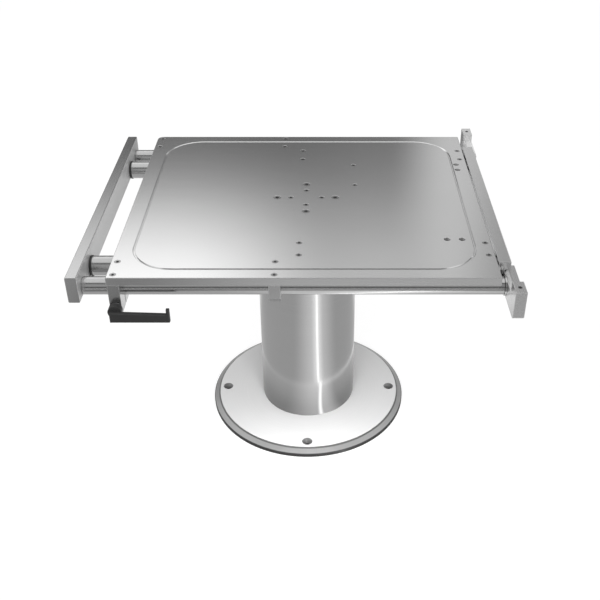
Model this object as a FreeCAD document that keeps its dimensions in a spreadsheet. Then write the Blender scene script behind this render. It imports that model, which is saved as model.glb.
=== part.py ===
import FreeCAD, Part
import Sketcher
import os
from math import cos, pi, sin

# Electric table pedestal. The origin is the centre of the base on the deck, +Z up and -Y to the front.
os.makedirs("parts", exist_ok=True)
doc = FreeCAD.newDocument("TablePedestal")
sheet = doc.addObject("Spreadsheet::Sheet", "Sizes")

# Driving dimensions, in millimetres.
DIMENSIONS = {
    # base
    "gasket_thickness": 5.5,
    "gasket_inset": 0.2,
    "base_radius": 210,
    "base_rim_width": 13,
    "base_height": 16,
    "base_rim_height": 1.5,
    "base_edge_step": 1.6,
    "base_bolt_inset": 30,
    "base_bolt_count": 4,
    "base_bolt_hole_radius": 5.5,
    "base_bolt_head_radius": 10.4,
    "cable_hole_radius": 12,
    "cable_hole_offset": 50,
    "grommet_wall": 5,
    "grommet_rim": 3,
    "rim_bevel": 1,
    # column
    "outer_tube_wall": 5,
    "column_gap": 46,
    "foot_ring_width": 24,
    "foot_ring_height": 20,
    "foot_screw_count": 6,
    "foot_screw_radius": 4,
    "foot_screw_head_radius": 8,
    "foot_screw_length": 28,
    "inner_tube_radius": 90,
    "inner_tube_wall": 4,
    "guide_wall": 5,
    "inner_tube_foot": 42,
    "guide_ring_height": 40,
    "guide_lip_height": 4,
    "guide_lip_overhang": 1,
    "wiper_height": 4,
    "wiper_width": 7,
    "wiper_clearance": 0.3,
    "glide_ring_height": 30,
    "glide_ring_lift": 4,
    "running_clearance": 0.05,
    "seat_clearance": 0.3,
    "head_flange_height": 15,
    "head_spigot_height": 10,
    # actuator
    "actuator_rise": 26,
    "actuator_eye_radius": 13,
    "actuator_eye_width": 20,
    "eye_overlap": 1,
    "bracket_plate_height": 6,
    "foot_bracket_width": 60,
    "bracket_ear_thickness": 7,
    "bracket_ear_gap": 0.5,
    "bracket_screw_radius": 3,
    "bracket_screw_head_radius": 5.5,
    "bracket_screw_spacing": 44,
    "bracket_screw_length": 15,
    "pin_radius": 5,
    "pin_overhang": 3,
    "gear_case_height": 40,
    "gear_case_radius": 28,
    "motor_offset": 50,
    "motor_radius": 26,
    "motor_length": 150,
    "motor_bevel": 2,
    "actuator_tube_radius": 22,
    "piston_show": 13,
    "piston_radius": 12.5,
    "piston_foot": 6,
    "piston_neck": 4,
    # plate
    "table_height": 491,
    "plate_width": 666,
    "plate_depth": 585,
    "plate_thickness": 15,
    "plate_corner_radius": 12,
    "plate_edge_chamfer": 1,
    "groove_side_inset": 31.5,
    "groove_front_inset": 28.5,
    "groove_corner_radius": 75,
    "groove_width": 2.2,
    "groove_floor": 2,
    "groove_bevel": 1.2,
    "column_screw_circle_radius": 56.5,
    "column_screw_radius": 4,
    "column_screw_head_radius": 7.6,
    "column_screw_length": 26,
    "bracket_bolt_circle_radius": 30,
    "bracket_bolt_radius": 3,
    "bracket_bolt_head_radius": 5.5,
    "head_bracket_radius": 42,
    "cross_screw_count": 4,
    "fitting_hole_radius": 2.6,
    "fitting_sink_radius": 5.7,
    "side_fitting_inset": 22,
    "side_fitting_y": 136.5,
    "side_fitting_spacing": 25,
    "front_fitting_inset": 64,
    "front_fitting_y": 162.6,
    "front_fitting_spacing": 27,
    "screw_recess": 0.3,
    "tap_spare": 1.5,
    "hole_play": 0.2,
    # guide blocks, rods and tubes
    "block_thickness": 20,
    "block_depth": 64,
    "block_height": 42,
    "block_chamfer": 15,
    "block_screw_spacing": 42,
    "block_screw_radius": 3,
    "block_screw_head_radius": 5.5,
    "block_screw_length": 26,
    "slide_drop": 20,
    "rod_radius": 16,
    "rod_chamfer": 1,
    "rod_bush_wall": 2,
    "tube_radius": 18,
    "tube_wall": 4,
    "tube_solid_end": 40,
    "tube_bush_wall": 1.5,
    "rod_to_tube": 64.5,
    "block_inset": 11,
    "middle_rod_block_x": 50,
    "middle_tube_block_x": 10,
    "clamp_block_height": 57,
    "clamp_block_chamfer": 4,
    "clamp_slit_width": 3,
    "clamp_stud_radius": 4,
    "clamp_stud_drop": 46,
    # cross bars
    "left_bar_gap": 48.5,
    "left_bar_thickness": 20,
    "bar_height": 50,
    "bar_chamfer": 1.5,
    "right_bar_gap": 3,
    "right_bar_thickness": 21.5,
    "right_bar_end_gap": 2.5,
    "right_bar_step": 1,
    "arm_offset": 11.5,
    "arm_thickness": 19,
    "arm_lap": 14,
    "arm_overhang": 45.5,
    "arm_drop": 3,
    "arm_screw_radius": 2.5,
    "arm_screw_head_radius": 4.6,
    "arm_screw_length": 22,
    "arm_screw_spacing": 17,
    "lug_length": 35,
    "notch_floor": 16,
    "notch_chamfer": 6,
    "lug_foot_chamfer": 4,
    "lug_hole_radius": 3.5,
    "lug_hole_length": 20,
    "lug_hole_setback": 17,
    "bar_screw_radius": 6,
    "bar_screw_head_radius": 9,
    "bar_screw_head_height": 12,
    "bar_screw_length": 32,
    "stop_washer_height": 3,
    "stop_washer_rim": 2,
    "stop_screw_radius": 3,
    "stop_screw_head_radius": 5.5,
    "stop_screw_length": 16,
    "plug_rim_height": 4,
    "plug_rim_width": 1,
    "plug_length": 20,
    # clamp lever
    "lever_washer_height": 2,
    "lever_washer_radius": 11,
    "lever_hub_radius": 12,
    "lever_hub_height": 12,
    "lever_arm_reach": 94,
    "lever_heel": 8.5,
    "lever_arm_drop": 16.5,
    "lever_arm_root": 3,
    "lever_arm_end": 0.5,
    "lever_arm_thickness": 7,
    "lever_tip_length": 5.5,
    "lever_tip_rise": 9.5,
    "lever_chamfer": 1.2,
    # control unit
    "control_offset": 6,
    "control_y": 100,
    "control_width": 32,
    "control_length": 112,
    "control_height": 26,
    "control_corner_radius": 5,
    "control_screw_spacing": 91.4,
    "control_screw_radius": 2.5,
    "control_screw_head_radius": 5,
    "control_screw_length": 24,
}
# How far a cut's outline runs past the solid, the least volume of a cut, and the reach of a place's test.
PAST = 1
LEAST_CUT = 1
NEAR = 0.01

for row, (alias, value) in enumerate(DIMENSIONS.items(), start=1):
    sheet.set(f"A{row}", alias)
    sheet.set(f"B{row}", str(value))
    sheet.setAlias(f"B{row}", alias)
doc.recompute()


class Size:
    """A length that follows from the sheet: its expression for the document and its value."""

    def __init__(self, text, value):
        self.text = text
        self.value = value

    def __add__(self, other):
        other = as_size(other)
        return Size(f"({self.text} + {other.text})", self.value + other.value)

    def __sub__(self, other):
        other = as_size(other)
        return Size(f"({self.text} - {other.text})", self.value - other.value)

    def __mul__(self, factor):
        return Size(f"({self.text} * {factor})", self.value * factor)

    def __truediv__(self, divisor):
        return Size(f"({self.text} / {divisor})", self.value / divisor)

    def __neg__(self):
        return Size(f"(0 - {self.text})", -self.value)

    def __float__(self):
        return float(self.value)


def as_size(value):
    return value if isinstance(value, Size) else Size(str(value), float(value))


class Sheet:
    """The driving dimensions by name."""

    def __getattr__(self, alias):
        return Size(f"Sizes.{alias}", float(sheet.get(alias)))


s = Sheet()
parts = {}


def keep(node, thing):
    thing.Label = node
    parts[node] = thing
    return thing


def bind(thing, path, value):
    thing.setExpression(path, as_size(value).text)


def place(thing, x=0, y=0, z=0):
    for axis, value in zip("xyz", (x, y, z)):
        bind(thing, f"Placement.Base.{axis}", value)
    return thing


# Sketches: every corner, centre and radius is a constraint bound to the sheet.
def new_body(name):
    return doc.addObject("PartDesign::Body", name)


def sketch_on(body, plane, name, offset=0):
    sketch = body.newObject("Sketcher::SketchObject", name)
    support = next(f for f in body.Origin.OriginFeatures if f.Role == plane)
    sketch.AttachmentSupport = [(support, "")]
    sketch.MapMode = "FlatFace"
    bind(sketch, "AttachmentOffset.Base.z", offset)
    return sketch


def constrain(sketch, kind, *where, value):
    value = as_size(value)
    index = sketch.addConstraint(Sketcher.Constraint(kind, *where, value.value))
    sketch.renameConstraint(index, f"size{index}")
    bind(sketch, f"Constraints.size{index}", value)


def locate(sketch, element, point, x, y):
    constrain(sketch, "DistanceX", -1, 1, element, point, value=x)
    constrain(sketch, "DistanceY", -1, 1, element, point, value=y)


def point(x, y):
    return FreeCAD.Vector(float(as_size(x)), float(as_size(y)), 0)


def draw_outline(sketch, corners):
    first = sketch.GeometryCount
    count = len(corners)
    for i in range(count):
        start = point(*corners[i])
        end = point(*corners[(i + 1) % count])
        sketch.addGeometry(Part.LineSegment(start, end))
    for i in range(count):
        sketch.addConstraint(Sketcher.Constraint("Coincident", first + i, 2, first + (i + 1) % count, 1))
    for i, (x, y) in enumerate(corners):
        locate(sketch, first + i, 1, x, y)


def draw_rectangle(sketch, x0, x1, y0, y1):
    draw_outline(sketch, [(x0, y0), (x1, y0), (x1, y1), (x0, y1)])


def draw_circle(sketch, radius, x=0, y=0):
    element = sketch.addGeometry(Part.Circle(point(x, y), FreeCAD.Vector(0, 0, 1), float(radius)))
    locate(sketch, element, 3, x, y)
    constrain(sketch, "Radius", element, value=radius)


def draw_rounded_rectangle(sketch, half_x, half_y, radius):
    corners = [(half_x - radius, half_y - radius), (radius - half_x, half_y - radius),
               (radius - half_x, radius - half_y), (half_x - radius, radius - half_y)]
    first = sketch.GeometryCount
    for i, (x, y) in enumerate(corners):
        circle = Part.Circle(point(x, y), FreeCAD.Vector(0, 0, 1), float(radius))
        sketch.addGeometry(Part.ArcOfCircle(circle, i * pi / 2, (i + 1) * pi / 2))
    for i in range(4):
        start = sketch.Geometry[first + i].EndPoint
        end = sketch.Geometry[first + (i + 1) % 4].StartPoint
        sketch.addGeometry(Part.LineSegment(start, end))
    for i, (x, y) in enumerate(corners):
        sketch.addConstraint(Sketcher.Constraint("Tangent", first + i, 2, first + 4 + i, 1))
        sketch.addConstraint(Sketcher.Constraint("Tangent", first + 4 + i, 2, first + (i + 1) % 4, 1))
        locate(sketch, first + i, 3, x, y)
    constrain(sketch, "Radius", first, value=radius)
    for i in range(1, 4):
        sketch.addConstraint(Sketcher.Constraint("Equal", first, first + i))


# Features.
def pad(body, sketch, length, symmetric=False):
    feature = body.newObject("PartDesign::Pad", "Pad")
    feature.Profile = sketch
    feature.SideType = "Symmetric" if symmetric else "One side"
    bind(feature, "Length", length)
    doc.recompute()
    return feature


def pocket(body, sketch, depth=None, both_ways=False, upwards=False):
    before = body.Shape.Volume
    feature = body.newObject("PartDesign::Pocket", "Pocket")
    feature.Profile = sketch
    feature.SideType = "Symmetric" if both_ways else "One side"
    feature.Reversed = upwards
    if depth is None:
        feature.Type = "ThroughAll"
    else:
        bind(feature, "Length", depth)
    doc.recompute()
    check_cut(body, before)
    return feature


def sunk_hole(body, sketch, radius, head_radius, upwards=False):
    sink_radius = head_radius + s.screw_recess + clearance
    before = body.Shape.Volume
    feature = body.newObject("PartDesign::Hole", "Hole")
    feature.Profile = sketch
    feature.DepthType = "ThroughAll"
    feature.HoleCutType = "Countersink"
    feature.HoleCutCustomValues = True
    feature.HoleCutCountersinkAngle = 90
    feature.Reversed = upwards
    bind(feature, "Diameter", radius * 2)
    bind(feature, "HoleCutDiameter", sink_radius * 2)
    doc.recompute()
    check_cut(body, before)
    return feature


def check_cut(body, before):
    if body.Shape.Volume > before - LEAST_CUT:
        raise RuntimeError(f"a cut in {body.Label} removed nothing")


def revolve(body, sketch, axis):
    feature = body.newObject("PartDesign::Revolution", "Revolution")
    feature.Profile = sketch
    feature.ReferenceAxis = (sketch, [axis])
    feature.Angle = 360
    doc.recompute()
    return feature


def repeat_round(body, feature, sketch, count):
    pattern = body.newObject("PartDesign::PolarPattern", "PolarPattern")
    pattern.Originals = [feature]
    pattern.Axis = (sketch, ["N_Axis"])
    pattern.Angle = 360
    bind(pattern, "Occurrences", count)
    body.Tip = pattern
    doc.recompute()
    return pattern


def dress_edges(body, kind, chosen, amount):
    base = body.Tip
    names = [f"Edge{i}" for i, edge in enumerate(base.Shape.Edges, start=1) if chosen(edge)]
    feature = body.newObject(f"PartDesign::{kind}", kind)
    feature.Base = (base, names)
    bind(feature, "Size" if kind == "Chamfer" else "Radius", amount)
    doc.recompute()
    return feature


def all_points(edge, axis, value):
    return all(abs(getattr(vertex.Point, axis) - float(value)) < NEAR for vertex in edge.Vertexes)


# Turned pieces: the outline is pairs of (height, radius) along the piece's own axis.
def turned(node, outline, along="z"):
    body = new_body(node)
    if along == "z":
        sketch = sketch_on(body, "XZ_Plane", "Section")
        draw_outline(sketch, [(radius, height) for height, radius in outline])
        revolve(body, sketch, "V_Axis")
    else:
        sketch = sketch_on(body, "XY_Plane", "Section")
        draw_outline(sketch, outline)
        revolve(body, sketch, "H_Axis")
    return keep(node, body)


def ring(node, outer, inner, height, along="z"):
    return turned(node, [(0, inner), (height, inner), (height, outer), (0, outer)], along)


# Screws: one shape with the top of its head at z = 0 and its shank along -Z, repeated at its places. The
# point's bevel and the socket are shares of the shank and the head, as on standard screws.
def hexagon_socket(radius, depth):
    corners = [FreeCAD.Vector(radius * cos(i * pi / 3), radius * sin(i * pi / 3), 0) for i in range(7)]
    return Part.Face(Part.makePolygon(corners)).extrude(FreeCAD.Vector(0, 0, -depth))


TIP_SHARE = 0.25
SOCKET_RADIUS_SHARE = 0.5
SOCKET_DEPTH_SHARE = 0.8


def screw_shape(head_radius, radius, length, head_height=None):
    head, shank, end = float(head_radius), float(radius), -float(length)
    tip = shank * TIP_SHARE
    if head_height is None:
        under_head = [(shank, shank - head)]
    else:
        under_head = [(head, -float(head_height)), (shank, -float(head_height))]
    section = [(0, 0), (head, 0), *under_head, (shank, end + tip), (shank - tip, end), (0, end), (0, 0)]
    outline = Part.makePolygon([FreeCAD.Vector(r, 0, z) for r, z in section])
    solid = Part.Face(outline).revolve(FreeCAD.Vector(), FreeCAD.Vector(0, 0, 1), 360)
    return solid.cut(hexagon_socket(head * SOCKET_RADIUS_SHARE, shank * SOCKET_DEPTH_SHARE))


def screws(node, shape, places, facing=FreeCAD.Vector(0, 0, 1)):
    feature = doc.addObject("Part::Feature", node)
    rotation = FreeCAD.Rotation(FreeCAD.Vector(0, 0, 1), facing)
    copies = []
    for x, y, z in places:
        copy = shape.copy()
        copy.Placement = FreeCAD.Placement(FreeCAD.Vector(float(x), float(y), float(z)), rotation)
        copies.append(copy)
    feature.Shape = Part.makeCompound(copies)
    return keep(node, feature)


def on_circle(radius, count, z, turn=0.0):
    angles = [turn + 2 * pi * i / count for i in range(count)]
    return [(float(radius) * cos(a), float(radius) * sin(a), z) for a in angles]


# Heights and places that several pieces share.
clearance = s.running_clearance
plate_under = s.table_height - s.plate_thickness
slide_axis = plate_under - s.slide_drop
rod_offset = s.plate_depth / 2 - s.block_depth / 2
tube_offset = rod_offset - s.rod_to_tube
end_block_x = s.plate_width / 2 - s.block_inset
outer_top = plate_under - s.column_gap
disc_radius = s.base_radius - s.base_rim_width
bolt_circle = s.base_radius - s.base_bolt_inset
tube_bore = s.inner_tube_radius + s.guide_wall
column_radius = tube_bore + s.outer_tube_wall
control_x = s.inner_tube_radius + s.control_offset
inner_bore = s.inner_tube_radius - s.inner_tube_wall
head_under = plate_under - s.head_flange_height
spigot_under = head_under - s.head_spigot_height
bar_foot = s.table_height - s.bar_height
left_bar_x = s.plate_width / 2 + s.left_bar_gap
right_bar_x = s.plate_width / 2 + s.right_bar_gap
arm_x = right_bar_x + s.arm_offset
right_bar_end = rod_offset - s.rod_radius - s.stop_washer_rim - s.right_bar_end_gap
arm_start = right_bar_end - s.arm_lap
arm_end = s.plate_depth / 2 + s.arm_overhang
lower_pin_z = s.base_height + s.actuator_rise
gear_case_z = lower_pin_z + s.actuator_eye_radius
actuator_z = gear_case_z + s.gear_case_height
upper_pin_z = spigot_under - s.actuator_rise
piston_shoulder = upper_pin_z - s.actuator_eye_radius - s.piston_neck
rod_bush_radius = s.rod_radius + s.rod_bush_wall
tube_bush_radius = s.tube_radius + s.tube_bush_wall


# Base gasket: a rubber disc cut with the same holes as the base.
def make_base_gasket():
    body = new_body("base_gasket")
    disc = sketch_on(body, "XY_Plane", "Disc")
    draw_circle(disc, s.base_radius - s.gasket_inset)
    draw_circle(disc, s.cable_hole_radius, s.cable_hole_offset)
    pad(body, disc, s.gasket_thickness)
    hole = sketch_on(body, "XY_Plane", "BoltHole")
    draw_circle(hole, s.base_bolt_hole_radius, bolt_circle)
    cut = pocket(body, hole, upwards=True)
    repeat_round(body, cut, hole, s.base_bolt_count)
    keep("base_gasket", body)


# Base flange: turned disc with a stepped, sloping rim, countersunk for deck bolts and the column's screws.
def make_base_flange():
    body = new_body("base_flange")
    section = sketch_on(body, "XZ_Plane", "Section")
    step_z = s.base_height - s.base_edge_step
    draw_outline(section, [
        (0, s.gasket_thickness),
        (s.base_radius, s.gasket_thickness),
        (s.base_radius, s.gasket_thickness + s.base_rim_height),
        (disc_radius + s.base_edge_step, step_z),
        (disc_radius, step_z),
        (disc_radius, s.base_height),
        (0, s.base_height),
    ])
    revolve(body, section, "V_Axis")
    bolt = sketch_on(body, "XY_Plane", "DeckBolt", s.base_height)
    draw_circle(bolt, s.base_bolt_hole_radius, bolt_circle)
    hole = sunk_hole(body, bolt, s.base_bolt_hole_radius, s.base_bolt_head_radius)
    repeat_round(body, hole, bolt, s.base_bolt_count)
    foot = sketch_on(body, "XY_Plane", "FootScrew", s.gasket_thickness)
    draw_circle(foot, s.foot_screw_radius + s.hole_play, tube_bore - s.foot_ring_width / 2)
    sunk = sunk_hole(body, foot, s.foot_screw_radius + s.hole_play, s.foot_screw_head_radius, upwards=True)
    repeat_round(body, sunk, foot, s.foot_screw_count)
    cable = sketch_on(body, "XY_Plane", "CableHole", s.base_height)
    draw_circle(cable, s.cable_hole_radius, s.cable_hole_offset)
    pocket(body, cable)
    taps = sketch_on(body, "XY_Plane", "BracketTaps", s.base_height)
    half = s.bracket_screw_spacing / 2
    for x in (half, -half):
        for y in (half, -half):
            draw_circle(taps, s.bracket_screw_radius + clearance, x, y)
    pocket(body, taps, s.bracket_screw_length - s.bracket_plate_height + s.tap_spare)
    keep("base_flange", body)


def make_base_hardware():
    foot_circle = tube_bore - s.foot_ring_width / 2
    shape = screw_shape(s.foot_screw_head_radius, s.foot_screw_radius, s.foot_screw_length)
    screws("foot_ring_screws", shape, on_circle(foot_circle, int(float(s.foot_screw_count)),
           s.gasket_thickness + s.screw_recess), FreeCAD.Vector(0, 0, -1))
    rim = s.cable_hole_radius + s.grommet_rim
    bore = s.cable_hole_radius - s.grommet_wall
    body = s.cable_hole_radius - clearance
    grommet_top = s.base_height + s.grommet_rim
    grommet = turned("cable_grommet", [
        (s.gasket_thickness, bore), (grommet_top, bore),
        (grommet_top, rim - s.rim_bevel), (grommet_top - s.rim_bevel, rim),
        (s.base_height, rim), (s.base_height, body), (s.gasket_thickness, body)])
    place(grommet, x=s.cable_hole_offset)


# Column: the outer tube stands on the base, held by the ring in its foot. The inner tube slides in it, in two
# plastic rings.
def make_column():
    place(ring("outer_tube", column_radius, tube_bore, outer_top - s.base_height), z=s.base_height)
    ring_bore = tube_bore - s.foot_ring_width
    foot = ring("foot_ring", tube_bore - clearance, ring_bore, s.foot_ring_height)
    tap = sketch_on(foot, "XY_Plane", "Tap")
    draw_circle(tap, s.foot_screw_radius + clearance, tube_bore - s.foot_ring_width / 2)
    hole = pocket(foot, tap, upwards=True)
    repeat_round(foot, hole, tap, s.foot_screw_count)
    place(foot, z=s.base_height)
    lip = outer_top + s.guide_lip_height
    guide_bore = s.inner_tube_radius + clearance
    turned("upper_guide_ring", [
        (outer_top - s.guide_ring_height, guide_bore), (lip, guide_bore),
        (lip, column_radius), (lip - s.rim_bevel, column_radius + s.guide_lip_overhang),
        (outer_top, column_radius + s.guide_lip_overhang),
        (outer_top, tube_bore - clearance), (outer_top - s.guide_ring_height, tube_bore - clearance)])
    wiper_bore = s.inner_tube_radius + s.wiper_clearance
    place(ring("wiper_seal", wiper_bore + s.wiper_width, wiper_bore, s.wiper_height), z=lip)
    inner_length = head_under - s.inner_tube_foot
    place(ring("inner_tube", s.inner_tube_radius, inner_bore, inner_length), z=s.inner_tube_foot)
    glide = ring("lower_glide_ring", tube_bore - clearance, guide_bore, s.glide_ring_height)
    place(glide, z=s.inner_tube_foot + s.glide_ring_lift)
    head = turned("head_flange", [
        (spigot_under, 0), (plate_under, 0),
        (plate_under, s.inner_tube_radius), (head_under, s.inner_tube_radius),
        (head_under, inner_bore - clearance), (spigot_under, inner_bore - clearance)])
    crosses = (
        ("ColumnTap", s.column_screw_radius + clearance, s.column_screw_circle_radius),
        ("BracketHole", s.bracket_bolt_radius + s.hole_play, s.bracket_bolt_circle_radius),
    )
    for name, radius, circle in crosses:
        sketch = sketch_on(head, "XY_Plane", name, plate_under)
        draw_circle(sketch, radius, circle)
        repeat_round(head, pocket(head, sketch), sketch, s.cross_screw_count)


# Brackets: a plate with two ears that hold the pin of the actuator's eye.
def add_ears(body, plate_face, reach):
    ears = sketch_on(body, "YZ_Plane", "Ears")
    half = s.actuator_eye_radius
    draw_rectangle(ears, -half, half, plate_face, reach)
    inner = s.actuator_eye_width / 2 + s.bracket_ear_gap
    pad(body, ears, (inner + s.bracket_ear_thickness) * 2, symmetric=True)
    slot = sketch_on(body, "YZ_Plane", "Slot")
    past_end = reach + (PAST if float(reach) > float(plate_face) else -PAST)
    draw_rectangle(slot, -half - PAST, half + PAST, plate_face, past_end)
    pocket(body, slot, inner * 2, both_ways=True)


def pin_hole(body, height):
    sketch = sketch_on(body, "YZ_Plane", "PinHole")
    draw_circle(sketch, s.pin_radius + clearance, 0, height)
    pocket(body, sketch, both_ways=True)


def make_foot_bracket():
    body = new_body("actuator_foot_bracket")
    plate = sketch_on(body, "XY_Plane", "Plate", s.base_height)
    half = s.foot_bracket_width / 2
    draw_rectangle(plate, -half, half, -half, half)
    pad(body, plate, s.bracket_plate_height)
    add_ears(body, s.base_height + s.bracket_plate_height, lower_pin_z + s.actuator_eye_radius)
    pin_hole(body, lower_pin_z)
    holes = sketch_on(body, "XY_Plane", "ScrewHoles", s.base_height + s.bracket_plate_height)
    spacing = s.bracket_screw_spacing / 2
    places = [(x, y) for x in (spacing, -spacing) for y in (spacing, -spacing)]
    for x, y in places:
        draw_circle(holes, s.bracket_screw_radius + s.hole_play, x, y)
    sunk_hole(body, holes, s.bracket_screw_radius + s.hole_play, s.bracket_screw_head_radius)
    keep("actuator_foot_bracket", body)
    shape = screw_shape(s.bracket_screw_head_radius, s.bracket_screw_radius, s.bracket_screw_length)
    top = s.base_height + s.bracket_plate_height - s.screw_recess
    screws("foot_bracket_screws", shape, [(x, y, top) for x, y in places])


def make_head_bracket():
    body = new_body("actuator_head_bracket")
    plate = sketch_on(body, "XY_Plane", "Plate", spigot_under - s.bracket_plate_height)
    draw_circle(plate, s.head_bracket_radius)
    pad(body, plate, s.bracket_plate_height)
    add_ears(body, spigot_under - s.bracket_plate_height, upper_pin_z - s.actuator_eye_radius)
    pin_hole(body, upper_pin_z)
    tap = sketch_on(body, "XY_Plane", "Tap", spigot_under)
    draw_circle(tap, s.bracket_bolt_radius + clearance, s.bracket_bolt_circle_radius)
    repeat_round(body, pocket(body, tap), tap, s.cross_screw_count)
    keep("actuator_head_bracket", body)


def add_eye(body, height, root, width_across):
    disc = sketch_on(body, "YZ_Plane", "Eye")
    draw_circle(disc, s.actuator_eye_radius, 0, height)
    pad(body, disc, s.actuator_eye_width, symmetric=True)
    neck = sketch_on(body, "YZ_Plane", "Neck")
    draw_rectangle(neck, -width_across, width_across, height, root)
    pad(body, neck, s.actuator_eye_width, symmetric=True)
    pin_hole(body, height)


# Actuator: a gear case with the motor beside the tube, and the piston rod that lifts the head.
def make_actuator():
    case = new_body("gear_case")
    plan = sketch_on(case, "XY_Plane", "Spindle", gear_case_z)
    draw_circle(plan, s.gear_case_radius)
    pad(case, plan, s.gear_case_height)
    plan = sketch_on(case, "XY_Plane", "Motor", gear_case_z)
    draw_circle(plan, s.gear_case_radius, 0, s.motor_offset)
    pad(case, plan, s.gear_case_height)
    plan = sketch_on(case, "XY_Plane", "Web", gear_case_z)
    draw_rectangle(plan, -s.gear_case_radius, s.gear_case_radius, 0, s.motor_offset)
    pad(case, plan, s.gear_case_height)
    add_eye(case, lower_pin_z, gear_case_z + s.eye_overlap, s.actuator_eye_radius)
    keep("gear_case", case)
    motor_top = s.motor_length
    motor = turned("motor", [(0, 0), (0, s.motor_radius), (motor_top - s.motor_bevel, s.motor_radius),
                             (motor_top, s.motor_radius - s.motor_bevel), (motor_top, 0)])
    place(motor, y=s.motor_offset, z=actuator_z)
    bore = s.piston_radius + clearance
    length = piston_shoulder - s.piston_show - actuator_z
    tube = turned("actuator_tube", [
        (0, 0), (s.piston_foot, 0), (s.piston_foot, bore), (length, bore), (length, s.actuator_tube_radius),
        (0, s.actuator_tube_radius)])
    place(tube, z=actuator_z)
    rod = new_body("piston_rod")
    rod_foot = actuator_z + s.piston_foot + s.seat_clearance
    section = sketch_on(rod, "XY_Plane", "Section", rod_foot)
    draw_circle(section, s.piston_radius)
    pad(rod, section, piston_shoulder - rod_foot)
    add_eye(rod, upper_pin_z, piston_shoulder - s.eye_overlap, s.actuator_eye_width / 2)
    keep("piston_rod", rod)
    reach = s.actuator_eye_width / 2 + s.bracket_ear_gap + s.bracket_ear_thickness + s.pin_overhang
    for node, height in (("lower_pin", lower_pin_z), ("upper_pin", upper_pin_z)):
        outline = [(-reach, 0), (reach, 0), (reach, s.pin_radius), (-reach, s.pin_radius)]
        pin = turned(node, outline, along="x")
        place(pin, z=height)


# Top plate: milled plate with a round-cornered groove, sunk screw holes and tapped fitting holes.
block_places = {
    "clamp_block": (-end_block_x, -rod_offset),
    "rear_left_rod_block": (-end_block_x, rod_offset),
    "front_middle_rod_block": (-s.middle_rod_block_x, -rod_offset),
    "rear_middle_rod_block": (-s.middle_rod_block_x, rod_offset),
    "front_middle_tube_block": (-s.middle_tube_block_x, -tube_offset),
    "rear_middle_tube_block": (-s.middle_tube_block_x, tube_offset),
    "front_right_tube_block": (end_block_x, -tube_offset),
    "rear_right_tube_block": (end_block_x, tube_offset),
}


def block_screw_places():
    half = s.block_screw_spacing / 2
    return [(x, y + side) for x, y in block_places.values() for side in (-half, half)]


def control_screw_places():
    half = s.control_screw_spacing / 2
    return [(control_x, s.control_y - half), (control_x, s.control_y + half)]


def fitting_places():
    side = s.side_fitting_spacing / 2
    front = s.front_fitting_spacing / 2
    side_x = s.plate_width / 2 - s.side_fitting_inset
    front_x = s.plate_width / 2 - s.front_fitting_inset
    return [(side_x, s.side_fitting_y - side), (side_x, s.side_fitting_y + side),
            (front_x - front, -s.front_fitting_y), (front_x + front, -s.front_fitting_y)]


def make_top_plate():
    body = new_body("top_plate")
    half_x, half_y = s.plate_width / 2, s.plate_depth / 2
    plan = sketch_on(body, "XY_Plane", "Plan")
    draw_rectangle(plan, -half_x, half_x, -half_y, half_y)
    pad(body, plan, s.plate_thickness)

    def back_left(edge):
        return all_points(edge, "x", -half_x) and all_points(edge, "y", half_y)

    dress_edges(body, "Fillet", back_left, s.plate_corner_radius)
    dress_edges(body, "Chamfer", lambda edge: all_points(edge, "z", s.plate_thickness), s.plate_edge_chamfer)
    groove = sketch_on(body, "XY_Plane", "Groove", s.plate_thickness)
    groove_x, groove_y = half_x - s.groove_side_inset, half_y - s.groove_front_inset
    for offset in (s.groove_width / 2, -s.groove_width / 2):
        draw_rounded_rectangle(groove, groove_x + offset, groove_y + offset, s.groove_corner_radius + offset)
    pocket(body, groove, s.groove_floor)

    def groove_rim(edge):
        reach = float(groove_x + s.groove_width)
        return all_points(edge, "z", s.plate_thickness) and all(abs(v.X) < reach for v in edge.Vertexes)

    dress_edges(body, "Chamfer", groove_rim, s.groove_bevel)
    groups = (
        ("BlockScrews", block_screw_places(), s.block_screw_radius, s.block_screw_head_radius),
        ("ControlScrews", control_screw_places(), s.control_screw_radius, s.control_screw_head_radius),
    )
    for name, places, radius, head_radius in groups:
        holes = sketch_on(body, "XY_Plane", name, s.plate_thickness)
        for x, y in places:
            draw_circle(holes, radius + s.hole_play, x, y)
        sunk_hole(body, holes, radius + s.hole_play, head_radius)
    fittings = sketch_on(body, "XY_Plane", "Fittings", s.plate_thickness)
    for x, y in fitting_places():
        draw_circle(fittings, s.fitting_hole_radius, x, y)
    sunk_hole(body, fittings, s.fitting_hole_radius, s.fitting_sink_radius)
    crosses = (
        ("ColumnScrew", s.column_screw_circle_radius, s.column_screw_radius, s.column_screw_head_radius),
        ("BracketBolt", s.bracket_bolt_circle_radius, s.bracket_bolt_radius, s.bracket_bolt_head_radius),
    )
    for name, circle, radius, head_radius in crosses:
        sketch = sketch_on(body, "XY_Plane", name, s.plate_thickness)
        draw_circle(sketch, radius + s.hole_play, circle)
        hole = sunk_hole(body, sketch, radius + s.hole_play, head_radius)
        repeat_round(body, hole, sketch, s.cross_screw_count)
    place(body, z=plate_under)
    keep("top_plate", body)


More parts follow.
